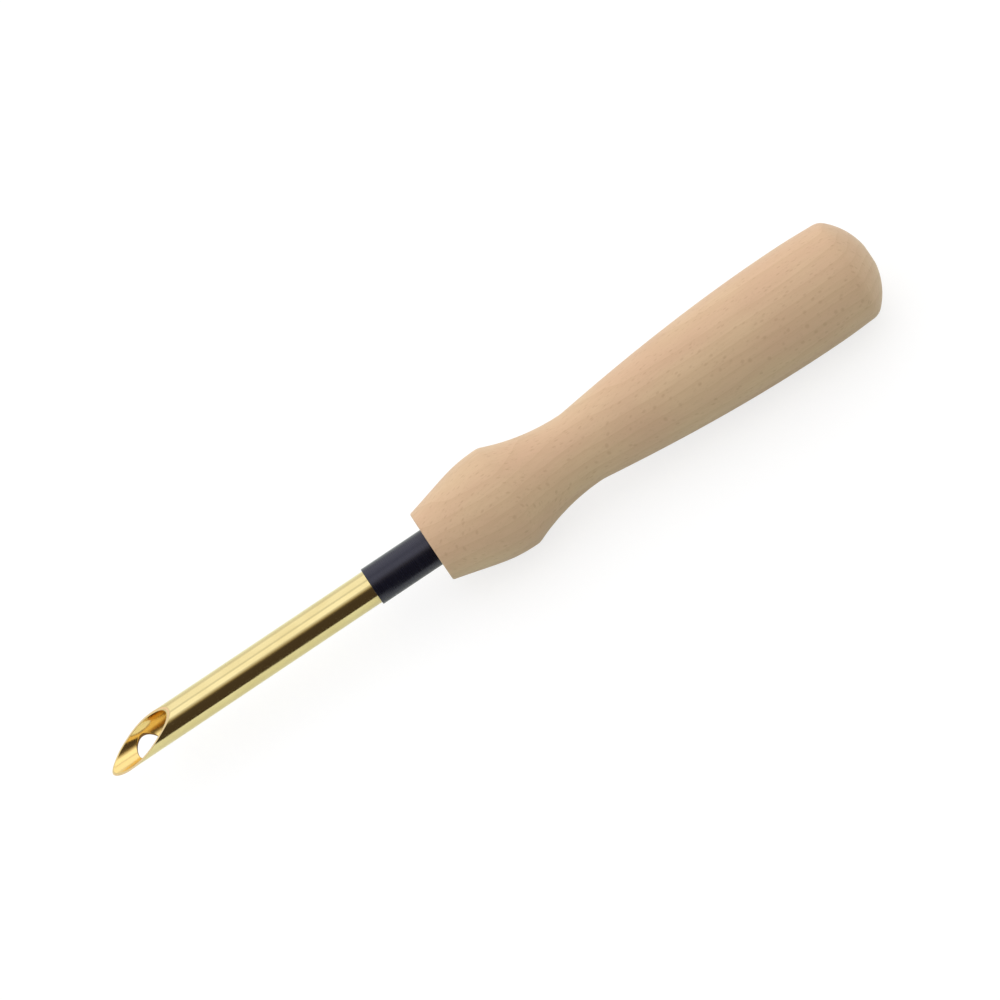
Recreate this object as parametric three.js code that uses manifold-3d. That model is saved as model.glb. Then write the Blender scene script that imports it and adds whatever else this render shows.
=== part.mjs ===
// Punch needle: a turned beech handle, a metal needle tube and the plastic sleeve between them.
// Millimetres. The tool lies on z = 0 with its axis along X: the needle's tip is at -X, the handle's
// domed rear end at +X, and the slanted cut of the tip opens upwards, along +Z.
// The origin is under the middle of the whole length.
// The outlines below are drawn in the tool's own measure: x is the distance behind the handle's front
// face and y the distance from the axis.

import * as THREE from "three";
import { mergeVertices } from "three/addons/utils/BufferGeometryUtils.js";
import Module from "manifold-3d";

const wasm = await Module();
wasm.setup();

// Round pieces share this number of flat sides, so that nested pieces stay parallel
const facets = 48;
const curveSteps = 12;
const roundingSteps = 3;

// Handle, from its front face to the rear
const handleLength = 85.6;
const frontRadius = 6.36;
const frontFlare = 0.25;
const frontEdgeRounding = 0.3;
const crestAt = 14.5;
const crestRadius = 9.2;
const crestRounding = 3.0;
const waistAt = 29.2;
const waistRadius = 6.31;
const swellAt = 71.5;
const swellRadius = 9.35;
const rearEdgeRadius = 9.06;
const rearEdgeRounding = 1.0;
const domeHeight = 4.4;

// How far each long curve keeps its starting and its ending direction, as a share of its run
const flareEase = [0.53, 0.35];
const swellEase = [0.026, 0.515];
const tailEase = [0.6, 0.3];
const tailTaper = 0.035;

// Bore through the handle: a seat for the tube and sleeve, then the narrower yarn channel
const seatDepth = 20;
const boreClearance = 0.05;
const channelRadius = 1.7;
const mouthRounding = 0.2;

// Needle tube
const tubeRadius = 3.0;
const tubeWall = 0.35;
const tubeReach = 63.5;

// Slanted mouth at the tip. The roundings are measured along the tube's girth. The rim's slant is how
// near to level its cut wall lies, from 0 for square to the surface to 1 for level.
const mouthLength = 13.6;
const heelRounding = 2.5;
const tipRounding = 3.1;
const noseLength = 0.55;
const noseWidth = 2.5;
const rimSlantAtHeel = 1.0;
const rimSlantAtTip = 0.35;

// Eye for the yarn, in the wall opposite the heel of the mouth
const eyeFromTip = 7.5;
const eyeRadius = 2.25;
const eyeFacets = 32;
const drillOverrun = 2;

// Sleeve that packs the tube in the handle
const sleeveReach = 11.6;
const sleeveWall = 0.33;
const sleeveClearance = 0.03;

// Sizes that follow from the ones above
const tubeBore = tubeRadius - tubeWall;
const sleeveBore = tubeRadius + sleeveClearance;
const sleeveRadius = sleeveBore + sleeveWall;
const seatRadius = sleeveRadius + boreClearance;
const domeRadius = (domeHeight ** 2 + rearEdgeRadius ** 2) / (2 * domeHeight);
const domeCentre = handleLength - domeRadius;

// Colours and finishes
const beech = new THREE.MeshStandardMaterial({ color: 0xd6b48c, roughness: 0.62, metalness: 0 });
const blackPlastic = new THREE.MeshStandardMaterial({ color: 0x23242c, roughness: 0.4, metalness: 0 });
const goldPlate = new THREE.MeshStandardMaterial({ color: 0xe2bf6b, roughness: 0.2, metalness: 1 });

// Points of a curve without its first one, which the outline before it already has
function continued(curve, steps) {
  return curve.getPoints(steps).slice(1);
}

// Curve between two points that leaves and arrives along given slopes
function easedCurve(from, fromSlope, to, toSlope, ease) {
  const run = to.x - from.x;
  return new THREE.CubicBezierCurve(
    from,
    new THREE.Vector2(from.x + ease[0] * run, from.y + ease[0] * run * fromSlope),
    new THREE.Vector2(to.x - ease[1] * run, to.y - ease[1] * run * toSlope),
    to,
  );
}

// Circular arc about a point, between two angles from the +x direction
function arc(centreX, centreY, radius, startAngle, endAngle) {
  const clockwise = endAngle < startAngle;
  return new THREE.EllipseCurve(centreX, centreY, radius, radius, startAngle, endAngle, clockwise);
}

// Front of the handle: the edge's rounding and the flare up to the crest
function frontOutline() {
  const edgeStart = new THREE.Vector2(0, frontRadius - frontEdgeRounding);
  const corner = new THREE.Vector2(0, frontRadius);
  const edgeEnd = new THREE.Vector2(frontEdgeRounding, frontRadius + frontEdgeRounding * frontFlare);
  const crest = new THREE.Vector2(crestAt, crestRadius);
  return [
    edgeStart,
    ...continued(new THREE.QuadraticBezierCurve(edgeStart, corner, edgeEnd), roundingSteps),
    ...continued(easedCurve(edgeEnd, frontFlare, crest, 0, flareEase), curveSteps),
  ];
}

// The crest's rounding runs into the hollow arc that ends level at the waist
function waistOutline() {
  const run = waistAt - crestAt;
  const drop = crestRadius - waistRadius;
  const hollowRadius = (run ** 2 + drop ** 2) / (2 * drop) - crestRounding;
  const turn = Math.asin(run / (hollowRadius + crestRounding));
  const level = Math.PI / 2;
  const crestArc = arc(crestAt, crestRadius - crestRounding, crestRounding, level, level - turn);
  const hollowArc = arc(waistAt, waistRadius + hollowRadius, hollowRadius, -level - turn, -level);
  return [...continued(crestArc, roundingSteps), ...continued(hollowArc, curveSteps)];
}

// Long swell behind the waist and the slight taper to the rear edge
function swellOutline() {
  const waist = new THREE.Vector2(waistAt, waistRadius);
  const swell = new THREE.Vector2(swellAt, swellRadius);
  const edgeX = handleLength - domeHeight - rearEdgeRounding;
  const edge = new THREE.Vector2(edgeX, rearEdgeRadius + rearEdgeRounding * tailTaper);
  return [
    ...continued(easedCurve(waist, 0, swell, 0, swellEase), curveSteps),
    ...continued(easedCurve(swell, 0, edge, -tailTaper, tailEase), roundingSteps),
  ];
}

// Rear edge, dome and the rounded mouth of the yarn channel
function domeOutline() {
  const edgeAngle = Math.asin(rearEdgeRadius / domeRadius);
  const domeStart = edgeAngle - rearEdgeRounding / domeRadius;
  const domeEnd = Math.asin((channelRadius + mouthRounding) / domeRadius);
  const rim = Math.sqrt(domeRadius ** 2 - channelRadius ** 2);
  const taperEnd = new THREE.Vector2(
    handleLength - domeHeight - rearEdgeRounding,
    rearEdgeRadius + rearEdgeRounding * tailTaper,
  );
  const edge = new THREE.Vector2(handleLength - domeHeight, rearEdgeRadius);
  const dome = arc(domeCentre, 0, domeRadius, domeStart, domeEnd);
  const mouthCorner = new THREE.Vector2(domeCentre + rim, channelRadius);
  const mouthEnd = new THREE.Vector2(mouthCorner.x - mouthRounding, channelRadius);
  const edgeRound = new THREE.QuadraticBezierCurve(taperEnd, edge, dome.getPoint(0));
  const mouthRound = new THREE.QuadraticBezierCurve(dome.getPoint(1), mouthCorner, mouthEnd);
  return [
    ...continued(edgeRound, roundingSteps),
    ...continued(dome, curveSteps),
    ...continued(mouthRound, roundingSteps),
  ];
}

// Bore, from the yarn channel's seat end back to the front face
function boreOutline() {
  return [
    new THREE.Vector2(seatDepth, channelRadius),
    new THREE.Vector2(seatDepth, seatRadius),
    new THREE.Vector2(0, seatRadius),
  ];
}

// Closed ring outline of a plain tube between two distances
function tubeOutline(fromX, toX, innerRadius, outerRadius) {
  return [
    new THREE.Vector2(fromX, innerRadius),
    new THREE.Vector2(fromX, outerRadius),
    new THREE.Vector2(toX, outerRadius),
    new THREE.Vector2(toX, innerRadius),
  ];
}

// Turns an outline about the axis. A flat side faces down, so the tool can lie on it.
function turned(outline) {
  const profile = [...outline, outline[0]].map((point) => new THREE.Vector2(point.y, point.x));
  const geometry = new THREE.LatheGeometry(profile, facets, Math.PI / facets);
  return geometry.rotateZ(-Math.PI / 2);
}

// A closed geometry as a solid that can be joined and cut
function solidOf(geometry) {
  const bare = geometry.clone();
  bare.deleteAttribute("normal");
  bare.deleteAttribute("uv");
  const merged = mergeVertices(bare, 1e-4);
  return new wasm.Manifold(
    new wasm.Mesh({
      numProp: 3,
      vertProperties: new Float32Array(merged.attributes.position.array),
      triVerts: new Uint32Array(merged.index.array),
    }),
  );
}

function geometryOf(solid) {
  const mesh = solid.getMesh();
  const geometry = new THREE.BufferGeometry();
  geometry.setAttribute("position", new THREE.BufferAttribute(mesh.vertProperties, mesh.numProp));
  geometry.setIndex(new THREE.BufferAttribute(mesh.triVerts, 1));
  geometry.computeVertexNormals();
  return geometry;
}

// How far the mouth's edge lies in front of its heel, at a distance along the girth from the heel's line.
// Over the unrolled wall the edge is a straight slope, rounded at the heel and at the tip, and the tip is
// drawn out to a blunt nose.
function mouthEdge(girth) {
  const tipGirth = Math.PI * tubeRadius;
  const slopeLength = mouthLength - noseLength;
  const slope = slopeLength / (tipGirth - (heelRounding + tipRounding) / 2);
  const toTip = tipGirth - girth;
  const nose = noseLength * Math.cos((Math.PI / 2) * Math.min(toTip / noseWidth, 1)) ** 2;
  if (girth < heelRounding) return (slope * girth ** 2) / (2 * heelRounding);
  if (toTip < tipRounding) return slopeLength - (slope * toTip ** 2) / (2 * tipRounding) + nose;
  return slope * (girth - heelRounding / 2) + nose;
}

// How far the rim lies in front of the heel, at an angle from the top and a distance from the axis. A
// square rim has the edge's place at the same angle, and a level one has its place at the same height.
function rimFromHeel(angle, radius) {
  const levelAngle = Math.acos((radius / tubeRadius) * Math.cos(angle));
  const square = mouthEdge(angle * tubeRadius);
  const level = mouthEdge(levelAngle * tubeRadius);
  const heelShare = (1 + Math.cos(angle)) / 2;
  const slant = rimSlantAtTip + (rimSlantAtHeel - rimSlantAtTip) * heelShare;
  return square + slant * (level - square);
}

// Draws a tube's front end out to the mouth's edge
function shapeMouth(tube) {
  const heelX = -tubeReach + mouthLength;
  const position = tube.attributes.position;
  for (let i = 0; i < position.count; i += 1) {
    const fromHeel = Math.abs(Math.atan2(position.getY(i), position.getZ(i)));
    const radius = Math.hypot(position.getY(i), position.getZ(i));
    if (position.getX(i) < (heelX + seatDepth) / 2) {
      position.setX(i, heelX - rimFromHeel(fromHeel, radius));
    }
  }
  return tube;
}

// Round drill through the lower wall, up to the axis
function eyeCutter() {
  const depth = tubeRadius + drillOverrun;
  const drill = new THREE.CylinderGeometry(eyeRadius, eyeRadius, depth, eyeFacets);
  return drill.rotateX(Math.PI / 2).translate(-tubeReach + eyeFromTip, 0, -depth / 2);
}

function handleGeometry() {
  return turned([
    ...frontOutline(),
    ...waistOutline(),
    ...swellOutline(),
    ...domeOutline(),
    ...boreOutline(),
  ]);
}

function needleTubeGeometry() {
  const tube = shapeMouth(turned(tubeOutline(-tubeReach, seatDepth, tubeBore, tubeRadius)));
  return geometryOf(solidOf(tube).subtract(solidOf(eyeCutter())));
}

function sleeveGeometry() {
  return turned(tubeOutline(-sleeveReach, seatDepth, sleeveBore, sleeveRadius));
}

function namedMesh(name, geometry, material) {
  const mesh = new THREE.Mesh(geometry, material);
  mesh.name = name;
  return mesh;
}

const punchNeedle = new THREE.Group();
punchNeedle.add(namedMesh("handle", handleGeometry(), beech));
punchNeedle.add(namedMesh("sleeve", sleeveGeometry(), blackPlastic));
punchNeedle.add(namedMesh("needle_tube", needleTubeGeometry(), goldPlate));

// Middle of the length over the origin, lowest flat side on z = 0
const extent = new THREE.Box3().setFromObject(punchNeedle);
punchNeedle.position.set(-(extent.min.x + extent.max.x) / 2, 0, -extent.min.z);

export default punchNeedle;
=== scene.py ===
# Punch needle: smooth pieces, finishes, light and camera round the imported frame. Metres, +Z up.
# Outlines are drawn in the tool's own measure: x is the distance behind the handle's front face and
# y the distance from the axis.

import math

import bmesh
import bpy
from mathutils import Matrix, Vector


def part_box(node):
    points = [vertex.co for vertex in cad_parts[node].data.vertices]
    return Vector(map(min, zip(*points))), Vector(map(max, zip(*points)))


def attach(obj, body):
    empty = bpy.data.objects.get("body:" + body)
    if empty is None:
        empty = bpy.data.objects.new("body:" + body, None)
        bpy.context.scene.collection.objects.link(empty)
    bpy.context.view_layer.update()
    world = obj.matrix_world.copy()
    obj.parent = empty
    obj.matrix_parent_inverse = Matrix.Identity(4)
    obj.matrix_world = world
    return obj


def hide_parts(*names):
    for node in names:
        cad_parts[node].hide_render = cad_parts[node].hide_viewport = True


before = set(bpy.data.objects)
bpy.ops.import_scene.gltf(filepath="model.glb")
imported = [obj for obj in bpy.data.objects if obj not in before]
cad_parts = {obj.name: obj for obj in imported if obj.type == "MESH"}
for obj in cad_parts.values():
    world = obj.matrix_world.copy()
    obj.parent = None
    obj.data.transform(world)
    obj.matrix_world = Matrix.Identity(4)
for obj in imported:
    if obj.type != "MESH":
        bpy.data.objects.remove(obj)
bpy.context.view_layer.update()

MM = 0.001
RIGHT_ANGLE = math.pi / 2

# Where the frame puts the front face and the axis
FRONT_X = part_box("handle")[0].x
AXIS_Z = (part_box("handle")[0].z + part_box("handle")[1].z) / 2

# Fineness of the meshes, and the angle from which an edge is sharp
HANDLE_SEGMENTS = 256
SLEEVE_SEGMENTS = 192
TUBE_COLUMNS = 288
CURVE_STEPS = 40
ROUND_STEPS = 6
SHARP_ANGLE = math.radians(40)

# Handle, from its front face to the rear
HANDLE_LENGTH = 85.6 * MM
FRONT_RADIUS = 6.36 * MM
FRONT_FLARE = 0.25
FRONT_ROUNDING = 0.3 * MM
CREST_AT = 14.5 * MM
CREST_RADIUS = 9.2 * MM
CREST_ROUNDING = 3.0 * MM
WAIST_AT = 29.2 * MM
WAIST_RADIUS = 6.31 * MM
SWELL_AT = 71.5 * MM
SWELL_RADIUS = 9.35 * MM
REAR_EDGE_RADIUS = 9.06 * MM
REAR_ROUNDING = 1.0 * MM
DOME_HEIGHT = 4.4 * MM
FLARE_EASE = (0.53, 0.35)
SWELL_EASE = (0.026, 0.515)
TAIL_EASE = (0.6, 0.3)
TAIL_TAPER = 0.035

# Bore of the handle
SEAT_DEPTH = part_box("sleeve")[1].x - FRONT_X
SEAT_RADIUS = 3.41 * MM
SEAT_CHAMFER = 0.08 * MM
CHANNEL_RADIUS = 1.7 * MM
CHANNEL_ROUNDING = 0.2 * MM

# Needle tube with its slanted mouth. The mouth's roundings are measured along the tube's girth.
TUBE_RADIUS = 3.0 * MM
TUBE_BORE = 2.65 * MM
TUBE_REACH = 63.5 * MM
MOUTH_LENGTH = 13.6 * MM
HEEL_X = -TUBE_REACH + MOUTH_LENGTH
HEEL_ROUNDING = 2.5 * MM
TIP_ROUNDING = 3.1 * MM
NOSE_LENGTH = 0.55 * MM
NOSE_WIDTH = 2.5 * MM
RIM_SLANT_AT_HEEL = 1.0
RIM_SLANT_AT_TIP = 0.35

# Roundings of the rim, each at the sides of the mouth and at its heel, and the distance from a rounding
# to the row beside it that holds the shading
OUTER_TRIM_BACK = (0.06 * MM, 0.15 * MM)
OUTER_TRIM_ACROSS = (0.06 * MM, 0.12 * MM)
INNER_TRIM = (0.16 * MM, 0.2 * MM)
SUPPORT_GAP = 0.015 * MM

# Eye in the wall opposite the heel of the mouth
EYE_FROM_TIP = 7.5 * MM
EYE_X = -TUBE_REACH + EYE_FROM_TIP
EYE_RADIUS = 2.25 * MM
EYE_ROUNDING_OUTSIDE = 0.08 * MM
EYE_ROUNDING_INSIDE = 0.1 * MM
EYE_RINGS = 12

# Rows of the tube's mesh: they follow the rim and turn straight behind the heel. At the bottom a block
# of rows makes room for the eye's rings, over a number of columns to either side.
FIRST_ROW_BEHIND_RIM = 0.7 * MM
STRAIGHT_BEHIND_HEEL = 4.0 * MM
SLANTED_ROWS = 36
BLOCK_FIRST_ROW = 2
BLOCK_ROWS = 21
BLOCK_HALF_WIDTH = 64
BLOCK_LOW = TUBE_COLUMNS // 2 - BLOCK_HALF_WIDTH
BLOCK_HIGH = TUBE_COLUMNS // 2 + BLOCK_HALF_WIDTH

# Sleeve
SLEEVE_REACH = FRONT_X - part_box("sleeve")[0].x
SLEEVE_BORE = 3.03 * MM
SLEEVE_RADIUS = 3.36 * MM
SLEEVE_ROUNDING = 0.1 * MM

# Camera: how the tool lies in the picture, what the picture's width spans at the axis, and the point
# beside the front face that the picture is centred on
PICTURE_ROLL = math.radians(33.76)
CAMERA_ELEVATION = math.radians(50)
PICTURE_WIDTH = 162.16 * MM
AIM_BEHIND_FRONT = 13.47 * MM
AIM_ABOVE_AXIS = 0.17 * MM
LENS = 500
SENSOR = 36
CLIP_END = 100

# Light. The world grows brighter towards the key direction; two broad lamps lie on the tool's long
# side, so that the metal mirrors them as bands.
KEY_DIRECTION = Vector((-0.1, 0.76, 0.65)).normalized()
WORLD_DIM = 0.0
WORLD_BRIGHT = 1.29
LAMPS = [
    {"name": "overhead", "elevation": math.radians(80), "angle": math.radians(36), "level": 0.45},
    {"name": "rear", "elevation": math.radians(131), "angle": math.radians(44), "level": 0.34},
]


# Outlines

def bezier(points, steps):
    """Points of a Bezier curve after its first one, which the outline before it already has."""
    made = []
    for step in range(1, steps + 1):
        share = step / steps
        level = list(points)
        while len(level) > 1:
            level = [a.lerp(b, share) for a, b in zip(level, level[1:])]
        made.append(level[0])
    return made


def eased(start, start_slope, end, end_slope, ease, steps):
    """Curve between two points that leaves and arrives along given slopes."""
    run = end.x - start.x
    leave = start + ease[0] * run * Vector((1, start_slope))
    arrive = end - ease[1] * run * Vector((1, end_slope))
    return bezier([start, leave, arrive, end], steps)


def arc(centre, radius, start, end, steps):
    """Points of a circular arc after its first one."""
    angles = [start + (end - start) * step / steps for step in range(1, steps + 1)]
    return [centre + radius * Vector((math.cos(angle), math.sin(angle))) for angle in angles]


def front_outline():
    edge_start = Vector((0, FRONT_RADIUS - FRONT_ROUNDING))
    corner = Vector((0, FRONT_RADIUS))
    edge_end = Vector((FRONT_ROUNDING, FRONT_RADIUS + FRONT_ROUNDING * FRONT_FLARE))
    crest = Vector((CREST_AT, CREST_RADIUS))
    return [
        edge_start,
        *bezier([edge_start, corner, edge_end], ROUND_STEPS),
        *eased(edge_end, FRONT_FLARE, crest, 0, FLARE_EASE, CURVE_STEPS),
    ]


def waist_outline():
    run = WAIST_AT - CREST_AT
    drop = CREST_RADIUS - WAIST_RADIUS
    hollow_radius = (run**2 + drop**2) / (2 * drop) - CREST_ROUNDING
    turn = math.asin(run / (hollow_radius + CREST_ROUNDING))
    crest_centre = Vector((CREST_AT, CREST_RADIUS - CREST_ROUNDING))
    hollow_centre = Vector((WAIST_AT, WAIST_RADIUS + hollow_radius))
    return [
        *arc(crest_centre, CREST_ROUNDING, RIGHT_ANGLE, RIGHT_ANGLE - turn, ROUND_STEPS),
        *arc(hollow_centre, hollow_radius, -RIGHT_ANGLE - turn, -RIGHT_ANGLE, CURVE_STEPS),
    ]


def taper_end():
    """Where the handle's taper ends and the rounding of its rear edge begins."""
    rear_edge = Vector((HANDLE_LENGTH - DOME_HEIGHT, REAR_EDGE_RADIUS))
    return rear_edge - REAR_ROUNDING * Vector((1, -TAIL_TAPER))


def swell_outline():
    waist = Vector((WAIST_AT, WAIST_RADIUS))
    swell = Vector((SWELL_AT, SWELL_RADIUS))
    return [
        *eased(waist, 0, swell, 0, SWELL_EASE, CURVE_STEPS),
        *eased(swell, 0, taper_end(), -TAIL_TAPER, TAIL_EASE, ROUND_STEPS),
    ]


def dome_outline():
    radius = (DOME_HEIGHT**2 + REAR_EDGE_RADIUS**2) / (2 * DOME_HEIGHT)
    centre = Vector((HANDLE_LENGTH - radius, 0))
    start_angle = math.asin(REAR_EDGE_RADIUS / radius) - REAR_ROUNDING / radius
    end_angle = math.asin((CHANNEL_RADIUS + CHANNEL_ROUNDING) / radius)
    edge = Vector((HANDLE_LENGTH - DOME_HEIGHT, REAR_EDGE_RADIUS))
    dome_start = centre + radius * Vector((math.cos(start_angle), math.sin(start_angle)))
    dome = arc(centre, radius, start_angle, end_angle, CURVE_STEPS)
    corner = Vector((centre.x + math.sqrt(radius**2 - CHANNEL_RADIUS**2), CHANNEL_RADIUS))
    channel_start = corner - Vector((CHANNEL_ROUNDING, 0))
    return [
        *bezier([taper_end(), edge, dome_start], ROUND_STEPS),
        *dome,
        *bezier([dome[-1], corner, channel_start], ROUND_STEPS),
    ]


def bore_outline():
    return [
        Vector((SEAT_DEPTH, CHANNEL_RADIUS)),
        Vector((SEAT_DEPTH, SEAT_RADIUS)),
        Vector((SEAT_CHAMFER, SEAT_RADIUS)),
        Vector((0, SEAT_RADIUS + SEAT_CHAMFER)),
    ]


def sleeve_outline():
    front = -SLEEVE_REACH
    inner_start = Vector((front + SLEEVE_ROUNDING / 2, SLEEVE_BORE))
    inner_corner = Vector((front, SLEEVE_BORE))
    inner_end = Vector((front, SLEEVE_BORE + SLEEVE_ROUNDING / 2))
    outer_start = Vector((front, SLEEVE_RADIUS - SLEEVE_ROUNDING))
    outer_corner = Vector((front, SLEEVE_RADIUS))
    outer_end = Vector((front + SLEEVE_ROUNDING, SLEEVE_RADIUS))
    return [
        Vector((SEAT_DEPTH, SLEEVE_BORE)),
        inner_start,
        *bezier([inner_start, inner_corner, inner_end], ROUND_STEPS),
        outer_start,
        *bezier([outer_start, outer_corner, outer_end], ROUND_STEPS),
        Vector((SEAT_DEPTH, SLEEVE_RADIUS)),
    ]


# Meshes

def placed(x, y, z):
    """A point given from the front face and the axis, in the row's frame."""
    return Vector((FRONT_X + x, y, AXIS_Z + z))


def on_cylinder(x, turn, radius):
    """A point at an angle from the top, round the axis."""
    return placed(x, radius * math.sin(turn), radius * math.cos(turn))


def linked(name, data):
    """A new object in the scene."""
    made = bpy.data.objects.new(name, data)
    bpy.context.scene.collection.objects.link(made)
    return made


def finished_object(name, points, faces):
    """Mesh object with its faces pointing out and smooth up to the sharp edges."""
    mesh = bpy.data.meshes.new(name)
    mesh.from_pydata(points, [], faces)
    work = bmesh.new()
    work.from_mesh(mesh)
    bmesh.ops.recalc_face_normals(work, faces=work.faces)
    work.to_mesh(mesh)
    work.free()
    mesh.shade_smooth()
    mesh.set_sharp_from_angle(angle=SHARP_ANGLE)
    return linked(name, mesh)


def new_ring(points, spots):
    """Adds a ring of vertices to the points and returns their numbers."""
    first = len(points)
    points += spots
    return range(first, len(points))


def band(lower, upper):
    """Faces between two closed rings of vertex numbers."""
    count = len(lower)
    return [
        (lower[i], lower[(i + 1) % count], upper[(i + 1) % count], upper[i])
        for i in range(count)
    ]


def turned(name, outline, segments):
    """Turns a closed outline about the axis."""
    turns = [math.tau * i / segments for i in range(segments)]
    points = []
    rings = []
    for spot in outline:
        rings.append(new_ring(points, [on_cylinder(spot.x, turn, spot.y) for turn in turns]))
    faces = []
    for lower, upper in zip(rings, rings[1:] + rings[:1]):
        faces += band(lower, upper)
    return finished_object(name, points, faces)


def mouth_edge(girth):
    """How far the mouth's edge lies in front of its heel, at a distance along the girth from the heel."""
    tip_girth = math.pi * TUBE_RADIUS
    slope_length = MOUTH_LENGTH - NOSE_LENGTH
    slope = slope_length / (tip_girth - (HEEL_ROUNDING + TIP_ROUNDING) / 2)
    to_tip = tip_girth - girth
    nose = NOSE_LENGTH * math.cos(RIGHT_ANGLE * min(to_tip / NOSE_WIDTH, 1)) ** 2
    if girth < HEEL_ROUNDING:
        return slope * girth**2 / (2 * HEEL_ROUNDING)
    if to_tip < TIP_ROUNDING:
        return slope_length - slope * to_tip**2 / (2 * TIP_ROUNDING) + nose
    return slope * (girth - HEEL_ROUNDING / 2) + nose


def rim_x(turn, radius):
    """Where the rim is at an angle and radius, between square to the wall and level."""
    from_heel = min(turn, math.tau - turn)
    level_angle = math.acos(radius / TUBE_RADIUS * math.cos(from_heel))
    square = mouth_edge(from_heel * TUBE_RADIUS)
    level = mouth_edge(level_angle * TUBE_RADIUS)
    heel_share = (1 + math.cos(from_heel)) / 2
    slant = RIM_SLANT_AT_TIP + (RIM_SLANT_AT_HEEL - RIM_SLANT_AT_TIP) * heel_share
    return HEEL_X - square - slant * (level - square)


def towards_heel(trim, turn):
    """Size of a rounding at an angle, from its sizes at the sides and at the heel."""
    at_side, at_heel = trim
    return at_side + (at_heel - at_side) * max(math.cos(turn), 0) ** 2


def tube_rows(turn, radius, trim):
    """The x places of a column's rows, from the rim's rounding back to the rear end."""
    rim = rim_x(turn, radius)
    rounded = rim + towards_heel(trim, turn)
    first = rim + FIRST_ROW_BEHIND_RIM
    straight = HEEL_X + STRAIGHT_BEHIND_HEEL
    slanted = [first + (straight - first) * row / SLANTED_ROWS for row in range(SLANTED_ROWS + 1)]
    return [rounded, rounded + SUPPORT_GAP, *slanted, -SLEEVE_REACH, SEAT_DEPTH]


def rim_rounding(turn):
    """The rim of one column, from the outer surface round to the inner one."""
    outer = on_cylinder(rim_x(turn, TUBE_RADIUS), turn, TUBE_RADIUS)
    inner = on_cylinder(rim_x(turn, TUBE_BORE), turn, TUBE_BORE)
    across = (inner - outer).normalized()
    back = Vector((1, 0, 0))
    outer_back = towards_heel(OUTER_TRIM_BACK, turn)
    outer_trim = towards_heel(OUTER_TRIM_ACROSS, turn)
    inner_trim = towards_heel(INNER_TRIM, turn)
    outer_round = bezier([outer + outer_back * back, outer, outer + outer_trim * across], ROUND_STEPS)
    inner_round = bezier([inner - inner_trim * across, inner, inner + inner_trim * back], ROUND_STEPS)
    return [
        *outer_round,
        outer + (outer_trim + SUPPORT_GAP) * across,
        inner - (inner_trim + SUPPORT_GAP) * across,
        inner - inner_trim * across,
        *inner_round[:-1],
    ]


def tube_sections(turns, outer_rows, inner_rows):
    """Each column's vertices round the wall's section, from the rear end's outer edge to its inner one."""
    sections = []
    for turn, outer, inner in zip(turns, outer_rows, inner_rows):
        outside = [on_cylinder(x, turn, TUBE_RADIUS) for x in reversed(outer)]
        inside = [on_cylinder(x, turn, TUBE_BORE) for x in inner]
        sections.append([*outside, *rim_rounding(turn), *inside])
    return sections


def wall_faces(rings, outer_first, inner_first):
    """Faces between all rings of the wall, left open where the blocks for the eye are."""
    faces = []
    for ring, (lower, upper) in enumerate(zip(rings, rings[1:] + rings[:1])):
        in_outer = outer_first - BLOCK_ROWS <= ring < outer_first
        in_inner = inner_first <= ring < inner_first + BLOCK_ROWS
        strip = band(lower, upper)
        if in_outer or in_inner:
            strip = strip[:BLOCK_LOW] + strip[BLOCK_HIGH:]
        faces += strip
    return faces


def block_border(rings, first_ring, step):
    """Vertex numbers round the block that the eye's rings replace, with their column and row."""
    places = [(column, 0) for column in range(BLOCK_LOW, BLOCK_HIGH)]
    places += [(BLOCK_HIGH, row) for row in range(BLOCK_ROWS)]
    places += [(column, BLOCK_ROWS) for column in range(BLOCK_HIGH, BLOCK_LOW, -1)]
    places += [(BLOCK_LOW, row) for row in range(BLOCK_ROWS, 0, -1)]
    return [(rings[first_ring + step * row][column], column, row) for column, row in places]


def eye_block(border, turns, rows, outer_rows):
    """A block's border with the angle from the bottom, the x place and the angle round the eye of each
    vertex. Both surfaces take the last one from the outer rows, so that their rings match."""
    block = []
    for number, column, row in border:
        angle = math.pi - turns[column]
        outer_x = outer_rows[column][BLOCK_FIRST_ROW + row]
        eye_angle = math.atan2(outer_x - EYE_X, TUBE_RADIUS * angle)
        block.append((number, angle, rows[column][BLOCK_FIRST_ROW + row], eye_angle))
    return block


def eye_patch(points, block, radius, rounding, inward):
    """Rings of vertices from a block's border to the eye's edge and over its rounding into the wall."""
    edge = EYE_RADIUS + rounding
    rings = [[number for number, *_ in block]]
    for step in range(1, EYE_RINGS + 1):
        share = step / EYE_RINGS
        spots = []
        for _, border_angle, border_x, eye_angle in block:
            edge_angle = math.asin(edge * math.cos(eye_angle) / radius)
            edge_x = EYE_X + edge * math.sin(eye_angle)
            angle = border_angle + (edge_angle - border_angle) * share
            x = border_x + (edge_x - border_x) * share
            spots.append(on_cylinder(x, math.pi - angle, radius))
        rings.append(new_ring(points, spots))
    for step in range(1, ROUND_STEPS + 1):
        bend = RIGHT_ANGLE * step / ROUND_STEPS
        ring_radius = EYE_RADIUS + rounding * (1 - math.sin(bend))
        depth = rounding * (1 - math.cos(bend)) * inward
        spots = []
        for *_, eye_angle in block:
            y = ring_radius * math.cos(eye_angle)
            z = -math.sqrt(radius**2 - y**2) + depth
            spots.append(placed(EYE_X + ring_radius * math.sin(eye_angle), y, z))
        rings.append(new_ring(points, spots))
    return rings


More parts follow.
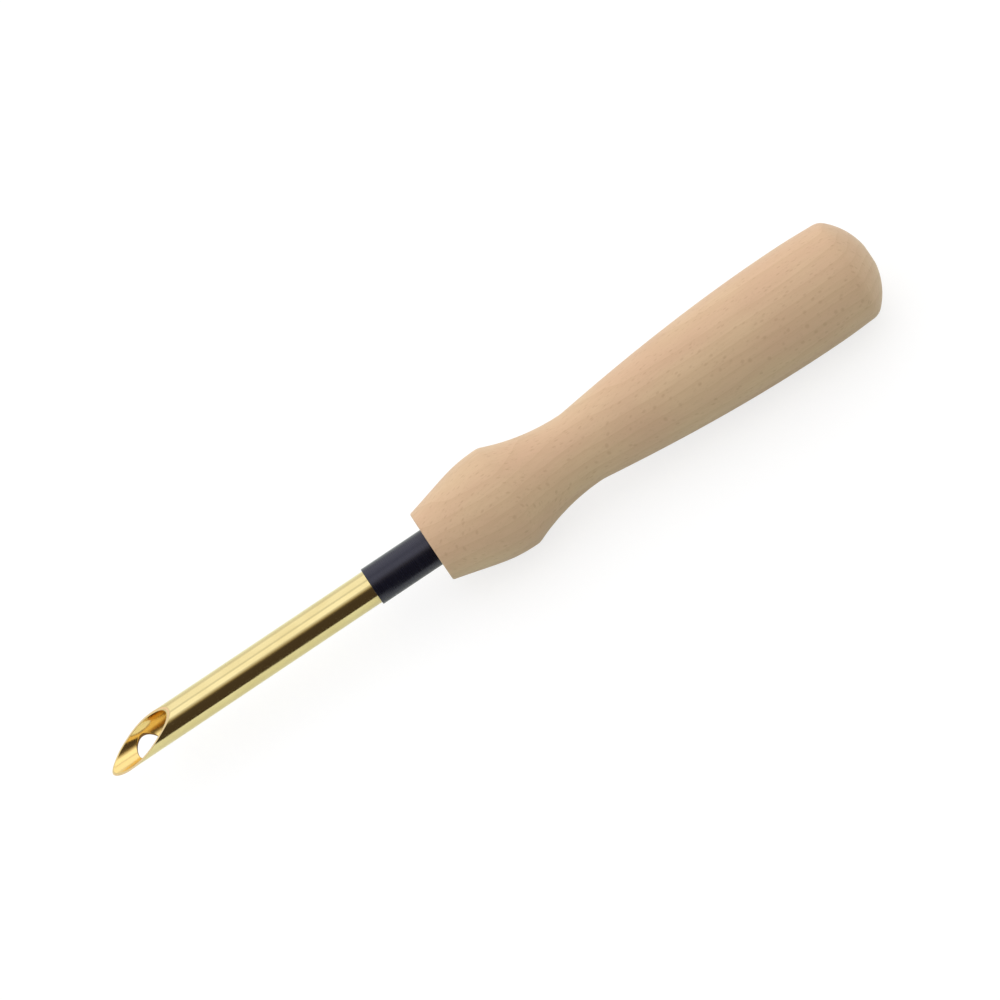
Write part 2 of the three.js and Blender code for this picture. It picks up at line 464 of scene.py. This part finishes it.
def needle_tube():
    """Tube with its slanted rim and the eye. Rings of vertices run all round the wall's section."""
    turns = [math.tau * column / TUBE_COLUMNS for column in range(TUBE_COLUMNS)]
    outer_rows = [tube_rows(turn, TUBE_RADIUS, OUTER_TRIM_BACK) for turn in turns]
    inner_rows = [tube_rows(turn, TUBE_BORE, INNER_TRIM) for turn in turns]
    points = []
    rings = [new_ring(points, spots) for spots in zip(*tube_sections(turns, outer_rows, inner_rows))]

    row_count = len(outer_rows[0])
    outer_first = row_count - 1 - BLOCK_FIRST_ROW
    inner_first = len(rings) - row_count + BLOCK_FIRST_ROW
    faces = wall_faces(rings, outer_first, inner_first)

    outer_block = eye_block(block_border(rings, outer_first, -1), turns, outer_rows, outer_rows)
    inner_block = eye_block(block_border(rings, inner_first, 1), turns, inner_rows, outer_rows)
    outer_rings = eye_patch(points, outer_block, TUBE_RADIUS, EYE_ROUNDING_OUTSIDE, 1)
    inner_rings = eye_patch(points, inner_block, TUBE_BORE, EYE_ROUNDING_INSIDE, -1)
    through = [*outer_rings, *reversed(inner_rings)]
    for lower, upper in zip(through, through[1:]):
        faces += band(lower, upper)
    return finished_object("needle_tube_smooth", points, faces)


def handle():
    outline = [*front_outline(), *waist_outline(), *swell_outline(), *dome_outline(), *bore_outline()]
    return turned("handle_smooth", outline, HANDLE_SEGMENTS)


def sleeve():
    return turned("sleeve_smooth", sleeve_outline(), SLEEVE_SEGMENTS)


# Material nodes

def add(tree, kind, inputs=None, **settings):
    """Adds a node. An input is a value or the socket that feeds it."""
    node = tree.nodes.new(kind)
    for name, value in settings.items():
        setattr(node, name, value)
    for key, value in (inputs or {}).items():
        if isinstance(value, bpy.types.NodeSocket):
            tree.links.new(value, node.inputs[key])
        else:
            node.inputs[key].default_value = value
    return node


def math_node(tree, operation, *values):
    return add(tree, "ShaderNodeMath", dict(enumerate(values)), operation=operation).outputs[0]


def vector_math(tree, operation, output, *vectors):
    """An operation on vectors. Its output is Vector, or Value where the result is one number."""
    node = add(tree, "ShaderNodeVectorMath", dict(enumerate(vectors)), operation=operation)
    return node.outputs[output]


def plus(tree, base, value, share):
    """The base with a share of the value added."""
    return math_node(tree, "ADD", base, math_node(tree, "MULTIPLY", value, share))


def mixed_colour(tree, factor, first, second):
    return add(tree, "ShaderNodeMix", {0: factor, 6: first, 7: second}, data_type="RGBA").outputs[2]


def mapped(tree, value, low, high, to_low, to_high):
    """A value mapped smoothly from one range to another."""
    inputs = {0: value, 1: low, 2: high, 3: to_low, 4: to_high}
    return add(tree, "ShaderNodeMapRange", inputs, interpolation_type="SMOOTHSTEP").outputs[0]


def object_place(tree):
    return add(tree, "ShaderNodeTexCoord").outputs["Object"]


def grained(tree, place, grain):
    """The place divided by a grain size in each of its three directions."""
    scale = tuple(1 / size for size in grain)
    return add(tree, "ShaderNodeMapping", {"Vector": place, "Scale": scale}).outputs[0]


def noise(tree, place, grain, detail=2.0, roughness=0.5):
    inputs = {"Vector": grained(tree, place, grain), "Scale": 1.0, "Detail": detail, "Roughness": roughness}
    return add(tree, "ShaderNodeTexNoise", inputs).outputs["Fac"]


def flecks(tree, place, grain, fade):
    """1 in the middle of each cell of a grain, fading to 0 between two distances from it."""
    inputs = {"Vector": grained(tree, place, grain), "Scale": 1.0}
    distance = add(tree, "ShaderNodeTexVoronoi", inputs).outputs["Distance"]
    return mapped(tree, distance, *fade, 1.0, 0.0)


def bump(tree, height, strength, depth):
    return add(tree, "ShaderNodeBump", {"Strength": strength, "Distance": depth, "Height": height}).outputs[0]


def tube_place(tree, centre_y, centre_z, at_radius):
    """Place as distance along X, distance from a line parallel to X, and length round that line."""
    apart = add(tree, "ShaderNodeSeparateXYZ", {0: object_place(tree)})
    y = math_node(tree, "SUBTRACT", apart.outputs["Y"], centre_y)
    z = math_node(tree, "SUBTRACT", apart.outputs["Z"], centre_z)
    squares = math_node(tree, "ADD", math_node(tree, "MULTIPLY", y, y), math_node(tree, "MULTIPLY", z, z))
    distance = math_node(tree, "SQRT", squares)
    angle = math_node(tree, "ARCTAN2", y, z)
    girth = math_node(tree, "MULTIPLY", angle, at_radius)
    return add(tree, "ShaderNodeCombineXYZ", {0: apart.outputs["X"], 1: distance, 2: girth}).outputs[0]


def line_distance(tree, place):
    """The distance from the line, out of a tube place."""
    return add(tree, "ShaderNodeSeparateXYZ", {0: place}).outputs["Y"]


def new_material(name):
    material = bpy.data.materials.new(name)
    material.use_nodes = True
    material.node_tree.nodes.clear()
    return material, material.node_tree


def show(tree, shader):
    add(tree, "ShaderNodeOutputMaterial", {"Surface": shader})


def principled(tree, inputs):
    return add(tree, "ShaderNodeBsdfPrincipled", inputs).outputs[0]


def srgb(red, green, blue):
    """A colour written in display values, as the shaders' linear one."""
    channels = [channel / 255 for channel in (red, green, blue)]
    linear = [((c + 0.055) / 1.055) ** 2.4 if c > 0.04045 else c / 12.92 for c in channels]
    return (*linear, 1.0)


# Beech: growth rings about a pith outside the handle, with rays and pores that show as short flecks
PITH_Y = -19 * MM
PITH_Z = -13 * MM
PITH_DISTANCE = math.hypot(PITH_Y, PITH_Z - AXIS_Z)
GROWTH_RING = 1.9 * MM
RING_DRIFT = 2.4
LATE_WOOD_SHARPNESS = 3.0

# Grain of the beech, along the handle and then in its two other directions
DRIFT_GRAIN = (60 * MM, 9 * MM, 9 * MM)
CLOUD_GRAIN = (16 * MM, 7 * MM, 7 * MM)
FIBRE_GRAIN = (7 * MM, 0.5 * MM, 0.3 * MM)
RAY_GRAIN = (1.7 * MM, 2.0 * MM, 0.42 * MM)
PORE_GRAIN = (1.1 * MM, 0.34 * MM, 0.34 * MM)

# Where each begins and ends in its noise or in its cells
CLOUD_FADE = (0.3, 0.7)
FIBRE_FADE = (0.35, 0.75)
RAY_FADE = (0.1, 0.3)
PORE_FADE = (0.1, 0.26)

# Tones of the beech, and how much of each shows over the clouded ground
EARLY_WOOD = srgb(221, 188, 150)
CLOUDED_WOOD = srgb(218, 180, 146)
LATE_WOOD = srgb(198, 160, 122)
FIBRE = srgb(205, 171, 135)
RAY = srgb(172, 127, 93)
PORE = srgb(160, 120, 88)
LATE_WOOD_SHARE = 0.28
FIBRE_SHARE = 0.3
RAY_SHARE = 0.24
PORE_SHARE = 0.14

# Surface of the beech
FIBRE_RELIEF = 0.6
RAY_RELIEF = 0.5
WOOD_BUMP = 0.35
WOOD_RELIEF_DEPTH = 0.03 * MM
CLOUD_DRYNESS = 0.5
DRYNESS_RANGE = (0.3, 1.1)
WOOD_ROUGHNESS = (0.5, 0.66)
WOOD_SHEEN = 0.15
WOOD_SHEEN_ROUGHNESS = 0.4


def beech():
    material, tree = new_material("beech")
    place = object_place(tree)
    ring_place = tube_place(tree, PITH_Y, PITH_Z, PITH_DISTANCE)
    count = math_node(tree, "DIVIDE", line_distance(tree, ring_place), GROWTH_RING)
    count = plus(tree, count, noise(tree, place, DRIFT_GRAIN), RING_DRIFT)
    season = math_node(tree, "FRACT", count)
    late_wood = math_node(tree, "POWER", season, LATE_WOOD_SHARPNESS)
    fibre = noise(tree, ring_place, FIBRE_GRAIN, detail=3.0, roughness=0.6)
    cloud = noise(tree, place, CLOUD_GRAIN)
    rays = flecks(tree, ring_place, RAY_GRAIN, RAY_FADE)
    pores = flecks(tree, ring_place, PORE_GRAIN, PORE_FADE)

    clouded = mapped(tree, cloud, *CLOUD_FADE, 0.0, 1.0)
    colour = mixed_colour(tree, clouded, EARLY_WOOD, CLOUDED_WOOD)
    layers = [
        (math_node(tree, "MULTIPLY", late_wood, LATE_WOOD_SHARE), LATE_WOOD),
        (mapped(tree, fibre, *FIBRE_FADE, 0.0, FIBRE_SHARE), FIBRE),
        (math_node(tree, "MULTIPLY", rays, RAY_SHARE), RAY),
        (math_node(tree, "MULTIPLY", pores, PORE_SHARE), PORE),
    ]
    for share, tone in layers:
        colour = mixed_colour(tree, share, colour, tone)

    relief = math_node(tree, "SUBTRACT", math_node(tree, "MULTIPLY", fibre, FIBRE_RELIEF), pores)
    relief = math_node(tree, "SUBTRACT", relief, math_node(tree, "MULTIPLY", rays, RAY_RELIEF))
    dryness = plus(tree, fibre, cloud, CLOUD_DRYNESS)
    inputs = {
        "Base Color": colour,
        "Roughness": mapped(tree, dryness, *DRYNESS_RANGE, *WOOD_ROUGHNESS),
        "Sheen Weight": WOOD_SHEEN,
        "Sheen Roughness": WOOD_SHEEN_ROUGHNESS,
        "Normal": bump(tree, relief, WOOD_BUMP, WOOD_RELIEF_DEPTH),
    }
    show(tree, principled(tree, inputs))
    return material


# Gold plate: polished, with faint drawing lines along the tube and a little handling haze. The cut edge
# of the wall is duller and paler, the bore shows the warmer brass, and the eye's drilled wall carries painted
# shade in dark brown.
PLATE = srgb(217, 201, 148)
HAZY_PLATE = srgb(212, 195, 141)
CUT_EDGE = srgb(236, 204, 158)
# Painted shade: the dark brown of the eye's wall, standing in for the shadow that the wall mirrors
BRASS_BORE = srgb(232, 203, 134)
PAINTED_EYE_SHADE = srgb(122, 86, 46)

# Distances from a surface over which its finish fades into the next one's. The cut edge's two fades
# are measured from the outer surface and from the bore.
BORE_FADE = (0.01 * MM, 0.06 * MM)
# The eye's painted shade fades in between these distances from the eye's edge.
EYE_SHADE_FADE = (0.01 * MM, 0.06 * MM)
CUT_FADE_OUTSIDE = (-0.1 * MM, -0.01 * MM)
CUT_FADE_INSIDE = (0.1 * MM, 0.18 * MM)

# Grain of the metal: along the tube, away from its axis and round it for the lines
LINE_GRAIN = (14 * MM, 0.4 * MM, 0.07 * MM)
HAZE_GRAIN = (5 * MM, 3 * MM, 3 * MM)
PIT_GRAIN = (0.3 * MM, 0.3 * MM, 0.3 * MM)
HAZE_FADE = (0.35, 0.7)

# Surface of the metal
WEAR_RANGE = (0.3, 0.75)
PLATE_ROUGHNESS = (0.08, 0.2)
CUT_EXTRA_ROUGHNESS = 0.32
BORE_EXTRA_ROUGHNESS = 0.07
LINE_RELIEF = 0.6
PIT_RELIEF = 0.4
METAL_BUMP = 0.1
METAL_RELIEF_DEPTH = 0.004 * MM


def fading(tree, distance, surface, fade, start=1.0):
    """Fades from start, which is 1 or 0, to the other one between two distances from a surface."""
    near, far = fade
    return mapped(tree, distance, surface + near, surface + far, start, 1.0 - start)


def cut_edge(tree, distance):
    """1 on the outer half of the wall's cut edge, by the distance from the tube's axis."""
    under_skin = fading(tree, distance, TUBE_RADIUS, CUT_FADE_OUTSIDE)
    over_bore = fading(tree, distance, TUBE_BORE, CUT_FADE_INSIDE, 0.0)
    return math_node(tree, "MULTIPLY", under_skin, over_bore)


def painted_eye_shade_mask(tree, place):
    """Mask of the painted shade on the eye: 1 on its wall between the two rounded edges, by the distance from
    the eye's axis.
    """
    from_axis = vector_math(tree, "SUBTRACT", "Vector", place, (FRONT_X + EYE_X, 0, 0))
    level = vector_math(tree, "MULTIPLY", "Vector", from_axis, (1, 1, 0))
    distance = vector_math(tree, "LENGTH", "Value", level)
    return fading(tree, distance, EYE_RADIUS, EYE_SHADE_FADE)


def gold_plate():
    material, tree = new_material("gold_plate")
    place = object_place(tree)
    along = tube_place(tree, 0, AXIS_Z, TUBE_RADIUS)
    lines = noise(tree, along, LINE_GRAIN)
    haze = noise(tree, place, HAZE_GRAIN, detail=3.0)
    pits = noise(tree, place, PIT_GRAIN)

    distance = line_distance(tree, along)
    bore = fading(tree, distance, TUBE_BORE, BORE_FADE)
    cut = cut_edge(tree, distance)
    hazy = mapped(tree, haze, *HAZE_FADE, 0.0, 1.0)
    colour = mixed_colour(tree, hazy, PLATE, HAZY_PLATE)
    # The last of these is the painted shade on the eye's wall.
    for share, tone in ((cut, CUT_EDGE), (bore, BRASS_BORE), (painted_eye_shade_mask(tree, place), PAINTED_EYE_SHADE)):
        colour = mixed_colour(tree, share, colour, tone)

    wear = math_node(tree, "MULTIPLY", math_node(tree, "ADD", lines, haze), 0.5)
    roughness = mapped(tree, wear, *WEAR_RANGE, *PLATE_ROUGHNESS)
    roughness = plus(tree, roughness, cut, CUT_EXTRA_ROUGHNESS)
    roughness = plus(tree, roughness, bore, BORE_EXTRA_ROUGHNESS)
    relief = plus(tree, math_node(tree, "MULTIPLY", lines, LINE_RELIEF), pits, PIT_RELIEF)
    inputs = {
        "Base Color": colour,
        "Metallic": 1.0,
        "Roughness": roughness,
        "Normal": bump(tree, relief, METAL_BUMP, METAL_RELIEF_DEPTH),
    }
    show(tree, principled(tree, inputs))
    return material


# Black plastic: satin, with a fine moulded skin and faint scuffs round it
PLASTIC = srgb(12, 15, 32)
SCUFFED_PLASTIC = srgb(19, 22, 38)
SKIN_GRAIN = (0.25 * MM, 0.25 * MM, 0.25 * MM)
SCUFF_GRAIN = (0.12 * MM, 1 * MM, 5 * MM)
SCUFF_FADE = (0.5, 0.75)
SCUFF_RANGE = (0.3, 0.75)
PLASTIC_ROUGHNESS = (0.24, 0.34)
SCUFF_RELIEF = 0.5
PLASTIC_BUMP = 0.12
PLASTIC_RELIEF_DEPTH = 0.01 * MM
PLASTIC_IOR = 1.55
PLASTIC_TINT = (0.85, 0.83, 1.0, 1.0)


def black_plastic():
    material, tree = new_material("black_plastic")
    around = tube_place(tree, 0, AXIS_Z, SLEEVE_RADIUS)
    skin = noise(tree, object_place(tree), SKIN_GRAIN, detail=3.0)
    scuffs = noise(tree, around, SCUFF_GRAIN)
    scuffed = mapped(tree, scuffs, *SCUFF_FADE, 0.0, 1.0)
    relief = plus(tree, skin, scuffs, SCUFF_RELIEF)
    inputs = {
        "Base Color": mixed_colour(tree, scuffed, PLASTIC, SCUFFED_PLASTIC),
        "Roughness": mapped(tree, scuffs, *SCUFF_RANGE, *PLASTIC_ROUGHNESS),
        "IOR": PLASTIC_IOR,
        "Specular Tint": PLASTIC_TINT,
        "Normal": bump(tree, relief, PLASTIC_BUMP, PLASTIC_RELIEF_DEPTH),
    }
    show(tree, principled(tree, inputs))
    return material


# Floor: white, with a light shadow in the picture and a deeper one in reflections. Each of its looks
# has a colour, and a glow that keeps its shadows light.
WHITE = (1, 1, 1, 1)
FLOOR_HALF_SIZE = 4.0
FLOOR_BOUNCE = (0.68, 0.8, 0.77, 1)
FLOOR_IN_METAL = (0.9, 0.96, 0.88, 1)
FLOOR_IN_METAL_GLOW = 0.2
FLOOR_IN_PICTURE = (0.28, 0.28, 0.28, 1)
FLOOR_IN_PICTURE_GLOW = 0.765


def mirror_rays(tree, path):
    """1 for the rays that show the surroundings in a surface."""
    return math_node(tree, "MAXIMUM", path.outputs["Is Glossy Ray"], path.outputs["Is Transmission Ray"])


def matt_and_glow(tree, colour, glow):
    """A matt surface that also glows."""
    shaded = add(tree, "ShaderNodeBsdfDiffuse", {"Color": colour}).outputs[0]
    white = add(tree, "ShaderNodeEmission", {"Color": WHITE, "Strength": glow}).outputs[0]
    return add(tree, "ShaderNodeAddShader", {0: shaded, 1: white}).outputs[0]


def floor_material():
    material, tree = new_material("floor")
    path = add(tree, "ShaderNodeLightPath")
    bounce = add(tree, "ShaderNodeBsdfDiffuse", {"Color": FLOOR_BOUNCE}).outputs[0]
    in_metal = matt_and_glow(tree, FLOOR_IN_METAL, FLOOR_IN_METAL_GLOW)
    in_picture = matt_and_glow(tree, FLOOR_IN_PICTURE, FLOOR_IN_PICTURE_GLOW)
    unseen = add(tree, "ShaderNodeMixShader", {0: mirror_rays(tree, path), 1: bounce, 2: in_metal})
    seen = {0: path.outputs["Is Camera Ray"], 1: unseen.outputs[0], 2: in_picture}
    show(tree, add(tree, "ShaderNodeMixShader", seen).outputs[0])
    return material


def flat_card(name, corners, material):
    mesh = bpy.data.meshes.new(name)
    mesh.from_pydata(corners, [], [(0, 1, 2, 3)])
    card = linked(name, mesh)
    card.data.materials.append(material)
    return card


def lay_floor():
    size = FLOOR_HALF_SIZE
    level = AXIS_Z - SWELL_RADIUS
    corners = [(-size, -size, level), (size, -size, level), (size, size, level), (-size, size, level)]
    flat_card("floor", corners, floor_material())


# Dark cards that show only in glossy reflections. The long one stands in front of the tool, below the
# camera's line of sight, and fades through a warm tone to white between two elevations above the tool.
# The low one lies on the floor in front of the handle and the sleeve, as painted shade for the handle's
# shadow there.
CARD_HALF_LENGTH = 170 * MM
CARD_NEAR = -29.5 * MM
CARD_FAR = -200 * MM
CARD_DARK_ELEVATION = math.radians(48)
CARD_TOP_ELEVATION = math.radians(69)
CARD_HEIGHT_OVER_FLOOR = 0.5 * MM
LOW_CARD_START = FRONT_X - 11 * MM
LOW_CARD_END = FRONT_X + 100 * MM
LOW_CARD_NEAR = -14.5 * MM
DARK = (0.08, 0.058, 0.041, 1)
WARM = (1.0, 0.76, 0.33, 1)


def card_material():
    material, tree = new_material("dark_card")
    apart = add(tree, "ShaderNodeSeparateXYZ", {0: object_place(tree)})
    away = math_node(tree, "MULTIPLY", apart.outputs["Y"], -1.0)
    elevation = math_node(tree, "ARCTAN2", apart.outputs["Z"], away)
    fade = mapped(tree, elevation, CARD_DARK_ELEVATION, CARD_TOP_ELEVATION, 0.0, 1.0)
    tone = mixed_colour(tree, fade, DARK, mixed_colour(tree, fade, WARM, WHITE))
    show(tree, add(tree, "ShaderNodeEmission", {"Color": tone}).outputs[0])
    return material


def reflection_card(name, corners, material):
    card = flat_card(name, corners, material)
    card.visible_camera = False
    card.visible_diffuse = False
    card.visible_transmission = False
    card.visible_shadow = False


def set_dark_cards():
    material = card_material()
    top = AXIS_Z - CARD_FAR * math.tan(CARD_TOP_ELEVATION)
    foot = CARD_HEIGHT_OVER_FLOOR
    standing = [
        (-CARD_HALF_LENGTH, CARD_NEAR, foot),
        (CARD_HALF_LENGTH, CARD_NEAR, foot),
        (CARD_HALF_LENGTH, CARD_FAR, top),
        (-CARD_HALF_LENGTH, CARD_FAR, top),
    ]
    lying = [
        (LOW_CARD_START, CARD_NEAR, foot),
        (LOW_CARD_END, CARD_NEAR, foot),
        (LOW_CARD_END, LOW_CARD_NEAR, foot),
        (LOW_CARD_START, LOW_CARD_NEAR, foot),
    ]
    reflection_card("dark_card", standing, material)
    # The low card is painted shade: the handle's shadow on the floor, as the metal mirrors it.
    reflection_card("low_shadow_card", lying, material)


# Light and camera

def light_world():
    """Soft light that grows towards the key direction. The camera and reflections see white."""
    world = bpy.data.worlds.new("studio")
    bpy.context.scene.world = world
    world.use_nodes = True
    tree = world.node_tree
    tree.nodes.clear()
    direction = add(tree, "ShaderNodeTexCoord").outputs["Generated"]
    facing = vector_math(tree, "DOT_PRODUCT", "Value", direction, KEY_DIRECTION)
    level = add(tree, "ShaderNodeMapRange", {0: facing, 1: -1.0, 2: 1.0, 3: WORLD_DIM, 4: WORLD_BRIGHT})
    soft = add(tree, "ShaderNodeBackground", {"Color": WHITE, "Strength": level.outputs[0]}).outputs[0]
    white = add(tree, "ShaderNodeBackground", {"Color": WHITE, "Strength": 1.0}).outputs[0]
    path = add(tree, "ShaderNodeLightPath")
    seen = math_node(tree, "MAXIMUM", path.outputs["Is Camera Ray"], mirror_rays(tree, path))
    mixed = add(tree, "ShaderNodeMixShader", {0: seen, 1: soft, 2: white}).outputs[0]
    add(tree, "ShaderNodeOutputWorld", {"Surface": mixed})


def set_lamps():
    """Broad suns square to the tool's axis. A lamp's level is what it adds where a mirror shows it."""
    for lamp in LAMPS:
        data = bpy.data.lights.new(lamp["name"], "SUN")
        data.angle = lamp["angle"]
        data.energy = lamp["level"] * math.pi * math.sin(lamp["angle"] / 2) ** 2
        sun = linked(lamp["name"], data)
        sun.rotation_euler = (RIGHT_ANGLE - lamp["elevation"], 0, 0)


def set_camera():
    """Camera square to the tool's axis, turned so that the tool runs from lower left to upper right."""
    along = Vector((1, 0, 0))
    to_camera = Vector((0, -math.cos(CAMERA_ELEVATION), math.sin(CAMERA_ELEVATION)))
    beside = to_camera.cross(along)
    right = math.cos(PICTURE_ROLL) * along - math.sin(PICTURE_ROLL) * beside
    up = math.sin(PICTURE_ROLL) * along + math.cos(PICTURE_ROLL) * beside
    aim = placed(AIM_BEHIND_FRONT, 0, 0) + AIM_ABOVE_AXIS * beside
    distance = LENS / SENSOR * PICTURE_WIDTH
    data = bpy.data.cameras.new("camera")
    data.lens = LENS
    data.sensor_width = SENSOR
    data.clip_end = CLIP_END
    camera = linked("camera", data)
    place = aim + distance * to_camera
    turn = Matrix((right, up, to_camera)).transposed()
    camera.matrix_world = Matrix.Translation(place) @ turn.to_4x4()
    bpy.context.scene.camera = camera


def dress(piece, node, material):
    piece.data.materials.append(material)
    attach(piece, "root")
    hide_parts(node)


bpy.context.scene.view_settings.view_transform = "Standard"
dress(handle(), "handle", beech())
dress(needle_tube(), "needle_tube", gold_plate())
dress(sleeve(), "sleeve", black_plastic())
lay_floor()
set_dark_cards()
light_world()
set_lamps()
set_camera()
